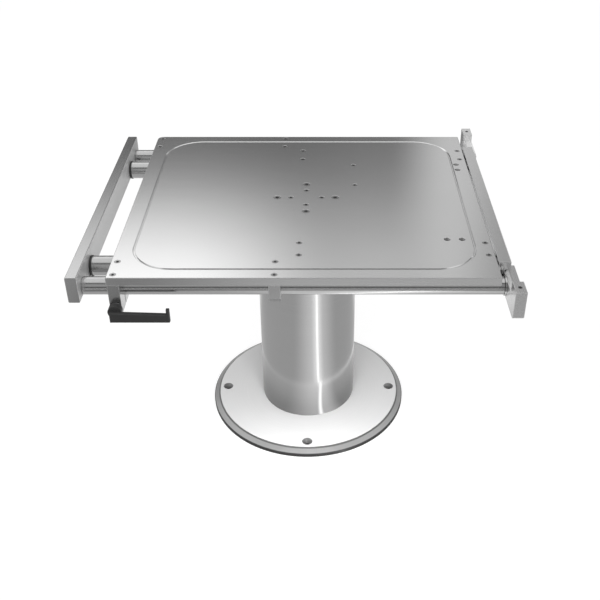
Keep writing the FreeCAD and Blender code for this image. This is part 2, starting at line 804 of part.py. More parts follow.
def make_plate_screws():
    top = s.table_height - s.screw_recess
    count = int(float(s.cross_screw_count))
    block = screw_shape(s.block_screw_head_radius, s.block_screw_radius, s.block_screw_length)
    screws("block_screws", block, [(x, y, top) for x, y in block_screw_places()])
    column = screw_shape(s.column_screw_head_radius, s.column_screw_radius, s.column_screw_length)
    screws("column_screws", column, on_circle(s.column_screw_circle_radius, count, top))
    bolt_length = s.table_height - spigot_under + s.bracket_plate_height
    bolt = screw_shape(s.bracket_bolt_head_radius, s.bracket_bolt_radius, bolt_length - s.screw_recess)
    screws("head_bracket_bolts", bolt, on_circle(s.bracket_bolt_circle_radius, count, top))
    control = screw_shape(s.control_screw_head_radius, s.control_screw_radius, s.control_screw_length)
    screws("control_unit_screws", control, [(x, y, top) for x, y in control_screw_places()])


# Guide blocks: sawn from bar, bored for the bush, with both lower corners cut off. The front left one is
# longer and slit below its bore, so that the lever's stud can close it on the rod.
def guide_block(node, bore_radius, height, chamfer):
    body = new_body(node)
    half = s.block_depth / 2
    section = sketch_on(body, "YZ_Plane", "Section")
    draw_outline(section, [
        (-half, 0), (half, 0), (half, chamfer - height), (half - chamfer, -height),
        (chamfer - half, -height), (-half, chamfer - height)])
    pad(body, section, s.block_thickness, symmetric=True)
    bore = sketch_on(body, "YZ_Plane", "Bore")
    draw_circle(bore, bore_radius, 0, -s.slide_drop)
    pocket(body, bore, both_ways=True)
    taps = sketch_on(body, "XY_Plane", "Taps")
    for side in (-s.block_screw_spacing / 2, s.block_screw_spacing / 2):
        draw_circle(taps, s.block_screw_radius + clearance, 0, side)
    pocket(body, taps, s.block_screw_length - s.plate_thickness + s.tap_spare)
    return body


def make_guide_blocks():
    for node, (x, y) in block_places.items():
        if node == "clamp_block":
            body = guide_block(node, s.rod_radius + clearance, s.clamp_block_height, s.clamp_block_chamfer)
            slit = sketch_on(body, "YZ_Plane", "Slit")
            draw_rectangle(slit, -s.clamp_slit_width / 2, s.clamp_slit_width / 2,
                           -s.clamp_block_height - PAST, -s.slide_drop)
            pocket(body, slit, both_ways=True)
            stud = sketch_on(body, "XZ_Plane", "StudHole")
            draw_circle(stud, s.clamp_stud_radius + clearance, 0, -s.clamp_stud_drop)
            pocket(body, stud, both_ways=True)
        else:
            bush_radius = rod_bush_radius if "rod" in node else tube_bush_radius
            body = guide_block(node, bush_radius + clearance, s.block_height, s.block_chamfer)
            bore = (s.rod_radius if "rod" in node else s.tube_radius) + clearance
            bush = ring(node.replace("block", "bush"), bush_radius, bore, s.block_thickness, along="x")
            place(bush, x=x - s.block_thickness / 2, y=y, z=slide_axis)
        place(body, x=x, y=y, z=plate_under)
        keep(node, body)


# Left cross bar, its two rods and the hardware on the rods' ends.
def screw_bore(body, name, face_x, y, z, depth_through, facing_left):
    hole = sketch_on(body, "YZ_Plane", name, face_x)
    draw_circle(hole, s.bar_screw_radius + s.hole_play, y, z)
    pocket(body, hole, depth_through + PAST, upwards=facing_left)
    head = sketch_on(body, "YZ_Plane", f"{name}Head", face_x)
    draw_circle(head, s.bar_screw_head_radius + s.hole_play, y, z)
    pocket(body, head, s.bar_screw_head_height + s.screw_recess, upwards=facing_left)


def bar_screw_shape():
    radius, length = s.bar_screw_radius, s.bar_screw_length
    return screw_shape(s.bar_screw_head_radius, radius, length, s.bar_screw_head_height)


def make_left_slide():
    body = new_body("left_bar")
    half = s.plate_depth / 2
    section = sketch_on(body, "XY_Plane", "Plan")
    draw_rectangle(section, -s.left_bar_thickness, 0, -half, half)
    pad(body, section, s.bar_height)
    dress_edges(body, "Chamfer", lambda edge: edge.Length > float(s.plate_depth) - NEAR, s.bar_chamfer)
    for name, y in (("FrontRod", -rod_offset), ("RearRod", rod_offset)):
        screw_bore(body, name, -s.left_bar_thickness, y, slide_axis - bar_foot, s.left_bar_thickness, True)
    place(body, x=-left_bar_x, z=bar_foot)
    keep("left_bar", body)
    length = left_bar_x + arm_x - s.seat_clearance - s.stop_washer_height
    bolt_depth = s.bar_screw_length - s.left_bar_thickness + s.bar_screw_head_height + s.tap_spare
    stop_depth = s.stop_screw_length
    tap, stop_tap = s.bar_screw_radius + clearance, s.stop_screw_radius + clearance
    radius, chamfer = s.rod_radius, s.rod_chamfer
    for node, y in (("front_rod", -rod_offset), ("rear_rod", rod_offset)):
        rod = turned(node, [
            (0, tap), (bolt_depth, tap), (bolt_depth, 0), (length - stop_depth, 0),
            (length - stop_depth, stop_tap), (length, stop_tap), (length, radius - chamfer),
            (length - chamfer, radius), (chamfer, radius), (0, radius - chamfer)], along="x")
        place(rod, x=-left_bar_x, y=y, z=slide_axis)
        sink = s.stop_screw_head_radius - s.stop_screw_radius + s.screw_recess
        hole = s.stop_screw_radius + s.hole_play
        washer = turned(node.replace("rod", "stop_washer"), [
            (0, hole), (s.stop_washer_height - sink, hole), (s.stop_washer_height, hole + sink),
            (s.stop_washer_height, radius + s.stop_washer_rim), (0, radius + s.stop_washer_rim)], along="x")
        place(washer, x=length - left_bar_x, y=y, z=slide_axis)
    head_x = -left_bar_x - s.left_bar_thickness + s.screw_recess
    shape = bar_screw_shape()
    screws("rod_screws", shape, [(head_x, -rod_offset, slide_axis), (head_x, rod_offset, slide_axis)],
           FreeCAD.Vector(-1, 0, 0))
    stop = screw_shape(s.stop_screw_head_radius, s.stop_screw_radius, s.stop_screw_length)
    stop_x = arm_x - s.seat_clearance - s.screw_recess
    screws("stop_screws", stop, [(stop_x, -rod_offset, slide_axis), (stop_x, rod_offset, slide_axis)],
           FreeCAD.Vector(1, 0, 0))


# Right cross bar: a flat bar with a rebate at each end for a lug arm, which passes outside the rods.
def make_right_bar():
    body = new_body("right_bar")
    thick, end, start = s.right_bar_thickness, right_bar_end, arm_start
    floor = s.bar_height - s.notch_floor
    plan = sketch_on(body, "XY_Plane", "Plan")
    draw_outline(plan, [
        (0, -end), (s.arm_offset, -end), (s.arm_offset, -start), (thick, -start),
        (thick, start), (s.arm_offset, start), (s.arm_offset, end), (0, end)])
    pad(body, plan, floor)
    top = sketch_on(body, "XY_Plane", "Top", floor)
    draw_rectangle(top, 0, thick, -end, end)
    pad(body, top, s.notch_floor - s.right_bar_step)
    for name, y in (("FrontTube", -tube_offset), ("RearTube", tube_offset)):
        screw_bore(body, name, thick, y, slide_axis - bar_foot, thick, False)
    screw_holes = sketch_on(body, "YZ_Plane", "ArmScrews")
    for side in (-1, 1):
        for z in arm_screw_heights():
            draw_circle(screw_holes, s.arm_screw_radius + s.hole_play, (end - s.arm_lap / 2) * side, z)
    sunk_hole(body, screw_holes, s.arm_screw_radius + s.hole_play, s.arm_screw_head_radius, upwards=True)
    place(body, x=right_bar_x, z=bar_foot)
    keep("right_bar", body)


def arm_screw_heights():
    middle = (s.bar_height - s.notch_floor) / 2
    return [middle - s.arm_screw_spacing / 2, middle + s.arm_screw_spacing / 2]


# Lug arms: milled bars screwed into the rebates, with a chamfered notch beside the bar's end and a drilled
# lug.
def make_lug_arm(node, side):
    body = new_body(node)
    floor = s.bar_height - s.notch_floor
    plan = sketch_on(body, "XY_Plane", "Plan", -s.arm_drop)
    draw_rectangle(plan, 0, s.arm_thickness, arm_start * side, arm_end * side)
    pad(body, plan, floor + s.arm_drop)

    def foot_end(edge):
        return all_points(edge, "z", -s.arm_drop) and all_points(edge, "y", arm_end * side)

    def notch_edge(edge):
        return all_points(edge, "z", floor) and all_points(edge, "x", 0)

    dress_edges(body, "Chamfer", foot_end, s.lug_foot_chamfer)
    dress_edges(body, "Chamfer", notch_edge, s.notch_chamfer)
    lug = sketch_on(body, "XY_Plane", "Lug", floor - s.notch_chamfer)
    draw_rectangle(lug, 0, s.arm_thickness, (arm_end - s.lug_length) * side, arm_end * side)
    pad(body, lug, s.notch_floor + s.notch_chamfer)
    hole = sketch_on(body, "XY_Plane", "LugHole", s.bar_height)
    draw_circle(hole, s.lug_hole_radius, s.arm_thickness / 2, (arm_end - s.lug_hole_setback) * side)
    pocket(body, hole, s.lug_hole_length)
    taps = sketch_on(body, "YZ_Plane", "Taps")
    for z in arm_screw_heights():
        draw_circle(taps, s.arm_screw_radius + clearance, (right_bar_end - s.arm_lap / 2) * side, z)
    pocket(body, taps, s.arm_screw_length - s.arm_offset + s.tap_spare, upwards=True)
    place(body, x=arm_x, z=bar_foot)
    keep(node, body)


def make_arm_screws():
    shape = screw_shape(s.arm_screw_head_radius, s.arm_screw_radius, s.arm_screw_length)
    y = right_bar_end - s.arm_lap / 2
    x = right_bar_x + s.screw_recess
    places = [(x, y * side, bar_foot + z) for side in (-1, 1) for z in arm_screw_heights()]
    screws("lug_arm_screws", shape, places, FreeCAD.Vector(-1, 0, 0))


def make_right_slide():
    make_right_bar()
    make_lug_arm("front_lug_arm", -1)
    make_lug_arm("rear_lug_arm", 1)
    make_arm_screws()
    rim = s.plug_rim_height
    start = -left_bar_x + s.seat_clearance
    length = right_bar_x + left_bar_x - s.seat_clearance - rim
    radius, bore = s.tube_radius, s.tube_radius - s.tube_wall
    tap = s.bar_screw_radius + clearance
    bolt_depth = s.bar_screw_length - s.right_bar_thickness + s.bar_screw_head_height + s.tap_spare
    solid_start = length - s.tube_solid_end
    tap_start = length - bolt_depth
    for node, y in (("front_tube", -tube_offset), ("rear_tube", tube_offset)):
        tube = turned(node, [
            (0, bore), (solid_start, bore), (solid_start, 0), (tap_start, 0),
            (tap_start, tap), (length, tap), (length, radius), (0, radius)], along="x")
        place(tube, x=start + rim, y=y, z=slide_axis)
        plug = turned(f"{node}_plug", [
            (0, 0), (0, radius + s.plug_rim_width - s.rim_bevel), (s.rim_bevel, radius + s.plug_rim_width),
            (rim, radius + s.plug_rim_width), (rim, bore - clearance),
            (rim + s.plug_length, bore - clearance), (rim + s.plug_length, 0)], along="x")
        place(plug, x=start, y=y, z=slide_axis)
    head_x = right_bar_x + s.right_bar_thickness - s.screw_recess
    shape = bar_screw_shape()
    screws("tube_screws", shape, [(head_x, -tube_offset, slide_axis), (head_x, tube_offset, slide_axis)],
           FreeCAD.Vector(1, 0, 0))


# Clamp lever: a moulded handle on a stud that crosses the slit of the clamp block.
def make_clamp_lever():
    stud_z = plate_under - s.clamp_stud_drop
    front = -s.plate_depth / 2
    washer_top = front - s.lever_washer_height
    washer_bore = s.clamp_stud_radius + s.hole_play
    washer = ring("lever_washer", s.lever_washer_radius, washer_bore, s.lever_washer_height)
    washer.Placement = FreeCAD.Placement(FreeCAD.Vector(), FreeCAD.Rotation(FreeCAD.Vector(1, 0, 0), 90))
    place(washer, x=-end_block_x, y=front, z=stud_z)
    body = new_body("clamp_lever")
    hub = sketch_on(body, "XZ_Plane", "Hub")
    draw_circle(hub, s.lever_hub_radius)
    pad(body, hub, s.lever_hub_height)
    arm = sketch_on(body, "XZ_Plane", "Arm", s.lever_hub_height)
    reach, drop = s.lever_arm_reach, s.lever_arm_drop
    draw_outline(arm, [
        (-s.lever_heel, -drop), (reach - s.lever_chamfer, -drop), (reach, s.lever_chamfer - drop),
        (reach, s.lever_tip_rise), (reach - s.lever_tip_length, s.lever_tip_rise),
        (reach - s.lever_tip_length, -s.lever_arm_end), (-s.lever_heel, s.lever_arm_root)])
    pad(body, arm, s.lever_arm_thickness)
    bore = sketch_on(body, "XZ_Plane", "StudBore")
    draw_circle(bore, s.clamp_stud_radius + clearance)
    pocket(body, bore, s.lever_hub_height, upwards=True)
    outer = -float(s.lever_hub_height + s.lever_arm_thickness)
    dress_edges(body, "Chamfer", lambda edge: all_points(edge, "y", outer), s.lever_chamfer)
    place(body, x=-end_block_x, y=washer_top, z=stud_z)
    keep("clamp_lever", body)
    stud_length = s.block_depth + s.lever_washer_height + s.lever_hub_height - s.seat_clearance
    stud = turned("clamp_stud", [
        (0, 0), (stud_length, 0), (stud_length, s.clamp_stud_radius), (0, s.clamp_stud_radius)])
    stud.Placement = FreeCAD.Placement(FreeCAD.Vector(), FreeCAD.Rotation(FreeCAD.Vector(1, 0, 0), 90))
    place(stud, x=-end_block_x, y=front + s.block_depth, z=stud_z)


# Control unit: a potted box screwed to the underside of the plate.
def make_control_unit():
    body = new_body("control_unit")
    plan = sketch_on(body, "XY_Plane", "Plan")
    half_x, half_y = s.control_width / 2, s.control_length / 2
    draw_rounded_rectangle(plan, half_x, half_y, s.control_corner_radius)
    pad(body, plan, s.control_height)
    taps = sketch_on(body, "XY_Plane", "Taps", s.control_height)
    for y in (-s.control_screw_spacing / 2, s.control_screw_spacing / 2):
        draw_circle(taps, s.control_screw_radius + clearance, 0, y)
    pocket(body, taps, s.control_screw_length - s.plate_thickness + s.tap_spare)
    place(body, x=control_x, y=s.control_y, z=plate_under - s.control_height)
    keep("control_unit", body)


make_base_gasket()
make_base_flange()
make_base_hardware()
make_column()
make_foot_bracket()
make_head_bracket()
make_actuator()
make_top_plate()
make_plate_screws()
make_guide_blocks()
make_left_slide()
make_right_slide()
make_clamp_lever()
make_control_unit()
doc.recompute()

faults = [thing.Label for thing in doc.Objects if {"Invalid", "Error"} & set(thing.State)]
faults += [node for node, thing in parts.items() if thing.Shape.isNull() or not thing.Shape.isValid()]
if faults:
    raise RuntimeError(f"failed: {faults}")
for node, thing in parts.items():
    thing.Shape.exportStep(f"parts/{node}.step")
print(len(parts), "parts")
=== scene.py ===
import math

import bpy
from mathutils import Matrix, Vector


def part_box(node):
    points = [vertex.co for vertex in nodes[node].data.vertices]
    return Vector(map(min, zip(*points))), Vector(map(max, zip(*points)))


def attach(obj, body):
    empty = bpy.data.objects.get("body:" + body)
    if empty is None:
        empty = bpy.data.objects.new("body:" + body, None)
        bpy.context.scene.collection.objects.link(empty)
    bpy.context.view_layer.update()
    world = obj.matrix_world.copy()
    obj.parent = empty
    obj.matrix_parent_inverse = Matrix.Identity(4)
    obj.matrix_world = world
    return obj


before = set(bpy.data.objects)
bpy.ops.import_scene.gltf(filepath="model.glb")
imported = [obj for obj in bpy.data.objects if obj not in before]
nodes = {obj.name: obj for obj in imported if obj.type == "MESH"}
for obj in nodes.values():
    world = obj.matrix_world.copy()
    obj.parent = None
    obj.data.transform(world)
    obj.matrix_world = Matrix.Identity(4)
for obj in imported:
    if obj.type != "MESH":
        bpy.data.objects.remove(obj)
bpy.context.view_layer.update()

# The camera stands in front of the pedestal and looks down on its plate, a little to the right of the
# middle. It is the view of a catalogue picture, with the horizon out of the frame.
IMAGE_SIDE = 600
FOCAL_LENGTH_IN_PIXELS = 874.9
PRINCIPAL_POINT_X = 321.8
CAMERA_PITCH = math.radians(34.01)
CAMERA_PLACE = (0.0303, -1.5266, 1.2796)

camera_data = bpy.data.cameras.new("camera")
camera_data.lens = camera_data.sensor_width * FOCAL_LENGTH_IN_PIXELS / IMAGE_SIDE
camera_data.shift_x = (IMAGE_SIDE / 2 - PRINCIPAL_POINT_X) / IMAGE_SIDE
camera = bpy.data.objects.new("camera", camera_data)
camera.location = CAMERA_PLACE
camera.rotation_euler = (math.pi / 2 - CAMERA_PITCH, 0, 0)
bpy.context.scene.collection.objects.link(camera)
bpy.context.scene.camera = camera
bpy.context.scene.view_settings.view_transform = "Standard"


# The studio is a white cove: a pale floor, a white surround and soft lamps. Graded cards that only the metal
# sees stand round it, as photographers use them to shape the light on bare metal.
class Field:
    """A socket in a node tree. Arithmetic on fields, or on a field and a number, adds Math nodes."""

    def __init__(self, tree, socket):
        self.tree = tree
        self.socket = socket

    def maths(self, operation, *values):
        return self.tree.add("Math", {"operation": operation}, dict(enumerate(values)))

    def __add__(self, other):
        return self.maths("ADD", self, other)

    def __radd__(self, other):
        return self.maths("ADD", other, self)

    def __sub__(self, other):
        return self.maths("SUBTRACT", self, other)

    def __rsub__(self, other):
        return self.maths("SUBTRACT", other, self)

    def __mul__(self, other):
        return self.maths("MULTIPLY", self, other)

    def __rmul__(self, other):
        return self.maths("MULTIPLY", other, self)

    def __truediv__(self, other):
        return self.maths("DIVIDE", self, other)

    def __pow__(self, other):
        return self.maths("POWER", self, other)

    def least(self, other):
        return self.maths("MINIMUM", self, other)

    def most(self, other):
        return self.maths("MAXIMUM", self, other)

    def size(self):
        return self.maths("ABSOLUTE", self)

    def rise(self, none_at, all_at):
        """0 at none_at, 1 at all_at, smooth between them and level beyond. Either one may be the higher."""
        if none_at > all_at:
            return 1 - self.rise(all_at, none_at)
        return self.tree.add("MapRange", {"interpolation_type": "SMOOTHSTEP"},
                             {"Value": self, "From Min": none_at, "From Max": all_at})

    def over(self, level, near, far):
        """1 where this is over the level. It comes in between near and far above it."""
        return self.rise(level + near, level + far)

    def under(self, level, near, far):
        """1 where this is under the level. It comes in between near and far below it."""
        return self.rise(level - near, level - far)


class Tree:
    """A shader node tree, written as expressions."""

    def __init__(self, owner):
        owner.use_nodes = True
        self.nodes = owner.node_tree.nodes
        self.links = owner.node_tree.links
        self.nodes.clear()

    def add(self, kind, settings=None, inputs=None, output=0):
        node = self.nodes.new("ShaderNode" + kind)
        for name, value in (settings or {}).items():
            setattr(node, name, value)
        for name, value in (inputs or {}).items():
            if isinstance(value, Field):
                self.links.new(value.socket, node.inputs[name])
            else:
                node.inputs[name].default_value = value
        return Field(self, node.outputs[output]) if node.outputs else None

    def place(self):
        """The three Object coordinates as fields."""
        vector = self.add("TexCoord", output="Object")
        return [self.add("SeparateXYZ", None, {"Vector": vector}, axis) for axis in "XYZ"]


def as_grey(tree, level):
    return tree.add("CombineColor", None, {"Red": level, "Green": level, "Blue": level})


BACKGROUND_RAYS = ("Is Camera Ray", "Is Glossy Ray", "Is Transmission Ray")


def seen_as_background(tree):
    """1 for the rays that meet the white surround: the camera's, and those off metal or through glass."""
    straight, reflected, refracted = [tree.add("LightPath", output=name) for name in BACKGROUND_RAYS]
    return straight.most(reflected).most(refracted)


SURROUND_LIGHT = 0.62
FLOOR_GLOW = 0.86
FLOOR_COLOUR = (0.22, 0.22, 0.22, 1)
FLOOR_HALF_SIDE = 14
FLOOR_LEVEL = -0.0004

world = bpy.data.worlds.new("surround")
bpy.context.scene.world = world
tree = Tree(world)
surround_light = SURROUND_LIGHT + seen_as_background(tree) * (1 - SURROUND_LIGHT)
surround = tree.add("Background", None, {"Color": as_grey(tree, surround_light)})
tree.add("OutputWorld", None, {"Surface": surround})


def flat_stage_piece(name, corners, material, faces=None):
    mesh = bpy.data.meshes.new(name)
    mesh.from_pydata(corners, [], faces or [tuple(range(len(corners)))])
    mesh.materials.append(material)
    piece = bpy.data.objects.new(name, mesh)
    bpy.context.scene.collection.objects.link(piece)
    return piece


def level_square(half_side, level):
    """The corners of a level square that faces up."""
    return [(half_side * x, half_side * y, level) for x, y in ((-1, -1), (1, -1), (1, 1), (-1, 1))]


floor_material = bpy.data.materials.new("white_floor")
tree = Tree(floor_material)
glow = tree.add("Emission", None, {"Color": as_grey(tree, seen_as_background(tree) * FLOOR_GLOW)})
paint = tree.add("BsdfDiffuse", None, {"Color": FLOOR_COLOUR})
tree.add("OutputMaterial", None, {"Surface": tree.add("AddShader", None, {0: glow, 1: paint})})
flat_stage_piece("floor", level_square(FLOOR_HALF_SIDE, FLOOR_LEVEL), floor_material)


def lamp(name, place, aim, width, height, watts):
    data = bpy.data.lights.new(name, "AREA")
    data.shape = "RECTANGLE"
    data.size = width
    data.size_y = height
    data.energy = watts
    light = bpy.data.objects.new(name, data)
    light.location = place
    light.rotation_euler = (Vector(aim) - Vector(place)).to_track_quat("-Z", "Y").to_euler()
    light.visible_glossy = False
    light.visible_camera = False
    bpy.context.scene.collection.objects.link(light)


lamp("key_softbox", place=(-1.6, -1.4, 2.6), aim=(0, 0, 0.3), width=1.6, height=1.6, watts=21)
lamp("fill_softbox", place=(2.2, -0.6, 2.0), aim=(0, 0, 0.3), width=1.4, height=1.4, watts=11)
lamp("low_softbox", place=(0.01, -0.4, 0.26), aim=(0, -0.13, 0), width=0.2, height=0.12, watts=1.85)


# The upright cards stand behind, in front and at the sides, and the plate and the bars mirror them. The back
# card is bright to the left and has a strip to the right, which gives the plate its diagonal sweep of light.
def graded_card(name, corners, light, faces=None):
    """A card that only reflections see, from its front. light works out its glow from the place on it."""
    material = bpy.data.materials.new(name)
    tree = Tree(material)
    glow = tree.add("Emission", None, {"Color": as_grey(tree, light(*tree.place()))})
    clear = tree.add("BsdfTransparent")
    back = tree.add("NewGeometry", output="Backfacing")
    tree.add("OutputMaterial", None, {"Surface": tree.add("MixShader", None, {0: back, 1: glow, 2: clear})})
    card = flat_stage_piece(name, corners, material, faces)
    card.visible_camera = False
    card.visible_diffuse = False
    card.visible_transmission = False
    card.visible_shadow = False


def upright_card(name, start, end, foot, top, light):
    """A card that stands from start to end, and faces the right of that way."""
    graded_card(name, [(*start, foot), (*end, foot), (*end, top), (*start, top)], light)


def band(place, light, none_at, all_at):
    """Light that comes in along a card, from none of it at one place to all of it at the other."""
    return light * place.rise(none_at, all_at)


BACK_CARD_LIGHT = 0.15
BACK_CARD_UPPER_LIGHT = 0.42


def back_card_light(x, y, z):
    middle = band(x, light=0.04, none_at=-0.1, all_at=0.2)
    left = band(x, light=0.72, none_at=0.1, all_at=-0.5)
    upper = BACK_CARD_UPPER_LIGHT + left - band(x, light=BACK_CARD_UPPER_LIGHT, none_at=0.26, all_at=0.44)
    strip = band(x, light=0.43, none_at=0.26, all_at=0.46) - band(x, light=0.24, none_at=0.5, all_at=0.72)
    low_left = band(x, light=0.6, none_at=-0.2, all_at=-0.35)
    low_height = z.rise(none_at=0.55, all_at=0.62) * z.rise(none_at=0.78, all_at=0.7)
    upper_height = z.rise(none_at=0.86, all_at=1.52)
    return BACK_CARD_LIGHT + middle + upper_height * upper + strip + low_left * low_height


FRONT_CARD_LIGHT = 0.14


def front_card_light(x, y, z):
    middle = band(z, light=0.36, none_at=0.9, all_at=1.5) * z.rise(none_at=3.9, all_at=3.1)
    return FRONT_CARD_LIGHT + middle + band(z, light=0.62, none_at=5.2, all_at=6.8)


SIDE_CARD_LIGHT = 0.16


def side_card_light(x, y, z):
    return SIDE_CARD_LIGHT + band(z, light=0.68, none_at=1.3, all_at=2.5)


upright_card("back_card", start=(-2.4, 1.2), end=(2.4, 1.2), foot=0.04, top=2.6, light=back_card_light)
upright_card("front_card", start=(6, -3.2), end=(-6, -3.2), foot=0, top=7.5, light=front_card_light)
upright_card("left_card", start=(-2.6, -3), end=(-2.6, 1.1), foot=0.95, top=4.6, light=side_card_light)
upright_card("right_card", start=(2.6, 1.1), end=(2.6, -3), foot=0.95, top=4.6, light=side_card_light)

# The floor card lies just above the floor. It is darker in front of the object, and a bright streak runs out
# from the foot of the column, which the polished tube shows as its upright line of light. The deck card does
# the same on the base, where the foot of the column mirrors it.
FLOOR_CARD_LEVEL = -0.0002
FLOOR_CARD_REACH = 2.2
FLOOR_NEAR_LIGHT = 0.6
FLOOR_FAR_LIGHT = 0.2
FLOOR_BACK_LIGHT = 0.62


def distance(x, y):
    return (x ** 2 + y ** 2) ** 0.5


def turn_round_column(x, y):
    """The angle round the column's axis, from the front towards the right."""
    return x.maths("ARCTAN2", x, 0 - y)


def streak(angle, light, centre, half_angle):
    """Light that runs out at an angle round the column and fades to either side. Both are in degrees."""
    return light * (angle - math.radians(centre)).size().rise(math.radians(half_angle), 0)


def turn_band(angle, light, none_at, all_at):
    """Light that comes in round the column, between two angles in degrees."""
    return band(angle, light, math.radians(none_at), math.radians(all_at))


def floor_card_light(x, y, z):
    angle = turn_round_column(x, y)
    near = (FLOOR_NEAR_LIGHT
            + streak(angle, light=0.5, centre=18, half_angle=50)
            + streak(angle, light=0.5, centre=21, half_angle=14)
            + streak(angle, light=1.6, centre=21, half_angle=2.4))
    far = (FLOOR_FAR_LIGHT
           + band(x, light=0.22, none_at=-0.6, all_at=0)
           + band(x, light=0.2, none_at=-0.54, all_at=-0.64))
    in_front = y.rise(none_at=0.1, all_at=-0.5) * distance(x, y).rise(none_at=0.72, all_at=0.95)
    behind = y.rise(none_at=0.1, all_at=0.4)
    strip = band(y, light=0.34, none_at=0.24, all_at=0.42) * y.rise(none_at=0.8, all_at=0.5)
    return near * (1 - in_front) * (1 - behind) + far * in_front + FLOOR_BACK_LIGHT * behind + strip


graded_card("floor_card", level_square(FLOOR_CARD_REACH, FLOOR_CARD_LEVEL), floor_card_light)

DECK_CARD_LEVEL = 0.0164
DECK_CARD_INNER = 0.1006
DECK_CARD_OUTER = 0.209
DECK_CARD_STEPS = 96
DECK_LIGHT = 0.4
DECK_RIM_LIGHT = 0.12
DECK_STREAK_LEAN = math.radians(70)
DECK_STREAK_MIDDLE = 0.135


def deck_card_light(x, y, z):
    radius = distance(x, y)
    angle = turn_round_column(x, y)
    outward = band(radius, light=0.22, none_at=0.1, all_at=0.19)
    glow = (turn_band(angle, light=0.5, none_at=-38, all_at=20)
            * turn_band(angle, light=1, none_at=54, all_at=26))
    rim = DECK_RIM_LIGHT + turn_band(angle, light=0.3, none_at=10, all_at=34)
    lean = DECK_STREAK_LEAN * (radius - DECK_STREAK_MIDDLE)
    line = streak(angle - lean, light=1.3, centre=19.7, half_angle=4.5)
    return DECK_LIGHT + outward + glow + radius.rise(none_at=0.192, all_at=0.197) * rim + line


def level_ring(inner, outer, level, steps):
    """The corners and faces of a flat ring that faces up."""
    turns = [2 * math.pi * step / steps for step in range(steps)]
    corners = [(r * math.cos(turn), r * math.sin(turn), level) for turn in turns for r in (inner, outer)]
    count = len(corners)
    faces = [(i, i + 1, (i + 3) % count, (i + 2) % count) for i in range(0, count, 2)]
    return corners, faces


deck_corners, deck_faces = level_ring(DECK_CARD_INNER, DECK_CARD_OUTER, DECK_CARD_LEVEL, DECK_CARD_STEPS)
graded_card("deck_card", deck_corners, deck_card_light, deck_faces)


# The base: an aluminium flange on a thin rubber gasket, with four sinks for the deck's bolts. The flange is
# turned on a lathe, so its marks run round it, and it is anodised in a satin silver. A rubber grommet lines
# the hole for the cable.
def surface(name, colour, roughness, metallic=1.0, normal=None, **constants):
    """A material from fields or numbers for colour and roughness, with its other sockets as constants."""
    material = bpy.data.materials.new(name)
    tree = Tree(material)
    inputs = dict(constants)
    for socket, value in (("Base Color", colour), ("Roughness", roughness), ("Metallic", metallic)):
        inputs[socket] = value(tree) if callable(value) else value
    if normal:
        inputs["Normal"] = normal(tree)
    shader = tree.add("BsdfPrincipled", None, inputs)
    tree.add("OutputMaterial", None, {"Surface": shader})
    return material


def even(scale):
    return (scale, scale, scale)


def noise(tree, scales, detail=3.0, seed=0.0):
    """Noise with its own scale along each axis, from about 0 to 1."""
    mapped = {"Vector": tree.add("TexCoord", output="Object"), "Scale": scales, "Location": even(seed)}
    stretched = tree.add("Mapping", None, mapped, "Vector")
    return tree.add("TexNoise", None, {"Vector": stretched, "Scale": 1.0, "Detail": detail}, "Fac")


LATHE_SLICE = 0.5
LATHE_DETAIL = 2.0


def round_marks(tree, spacing):
    """Noise that follows the distance from the column's axis, as a lathe's marks do."""
    x, y, z = tree.place()
    vector = tree.add("CombineXYZ", None, {"X": distance(x, y) / spacing, "Y": z / spacing, "Z": LATHE_SLICE})
    return tree.add("TexNoise", None, {"Vector": vector, "Scale": 1.0, "Detail": LATHE_DETAIL}, "Fac")


NOISE_MIDDLE = 0.5


def swing(pattern, spread):
    """A noise of 0 to 1 as a change to either side of none, with the spread between its ends."""
    return spread * (pattern - NOISE_MIDDLE)


def bump(tree, height, strength, depth):
    return tree.add("Bump", None, {"Height": height, "Strength": strength, "Distance": depth})


def finish(names, material):
    for name in names:
        slots = nodes[name].data.materials
        slots.clear()
        slots.append(material)


DISC_RADIUS = 0.197
DISC_LEVEL = 0.016
RIM_STEP_RADIUS = 0.1984
DECK_BOLT_PLACES = [(0.18, 0), (0, 0.18), (-0.18, 0), (0, -0.18)]
DECK_BOLT_SINK = 0.0106
BASE_TONE = 0.82
BASE_ROUGHNESS = 0.42
BASE_MARKS = 0.0006
METAL_CLOUDS = even(9)
RIM_SHADE = 0.34
RIM_STEP_SHADE = 0.52
RIM_FOOT_SHADE = 0.85
DECK_BOLT_SHADE = 0.6
DISC_METALLIC = 0.25
RIM_EXTRA_METALLIC = 0.6


def near_places(t, places, radius):
    """1 within the radius of any of the upright holes at the places, and 0 elsewhere."""
    x, y, z = t.place()
    nearest = None
    for px, py in places:
        gap = distance(x - px, y - py)
        nearest = gap if nearest is None else nearest.least(gap)
    return nearest.under(radius, near=-0.0001, far=0.0001)


def base_masks(t):
    """The rim beyond the disc, its step, its foot, and the sinks of the deck bolts. The colour darkens them
    with painted shade.
    """
    x, y, z = t.place()
    radius = distance(x, y)
    rim = radius.over(DISC_RADIUS, near=-0.0002, far=0)
    step = (radius - RIM_STEP_RADIUS).size().rise(none_at=0.0024, all_at=0.0006)
    foot = radius.rise(none_at=0.208, all_at=0.2093)
    sinks = near_places(t, DECK_BOLT_PLACES, DECK_BOLT_SINK) * z.under(DISC_LEVEL, near=0.0001, far=0.0003)
    return rim, step, foot, sinks


# Painted shade: the colour is darkened on the rim, its step and its foot, and in the sinks of the deck bolts.
def base_colour(t):
    rim, step, foot, sinks = base_masks(t)
    marks = 1 + swing(round_marks(t, BASE_MARKS), spread=0.08)
    clouds = 1 + swing(noise(t, METAL_CLOUDS), spread=0.06)
    painted_rim_shade = (1 - RIM_SHADE * rim) * (1 - RIM_STEP_SHADE * step) * (1 - RIM_FOOT_SHADE * foot)
    return as_grey(t, BASE_TONE * marks * clouds * painted_rim_shade * (1 - DECK_BOLT_SHADE * sinks))


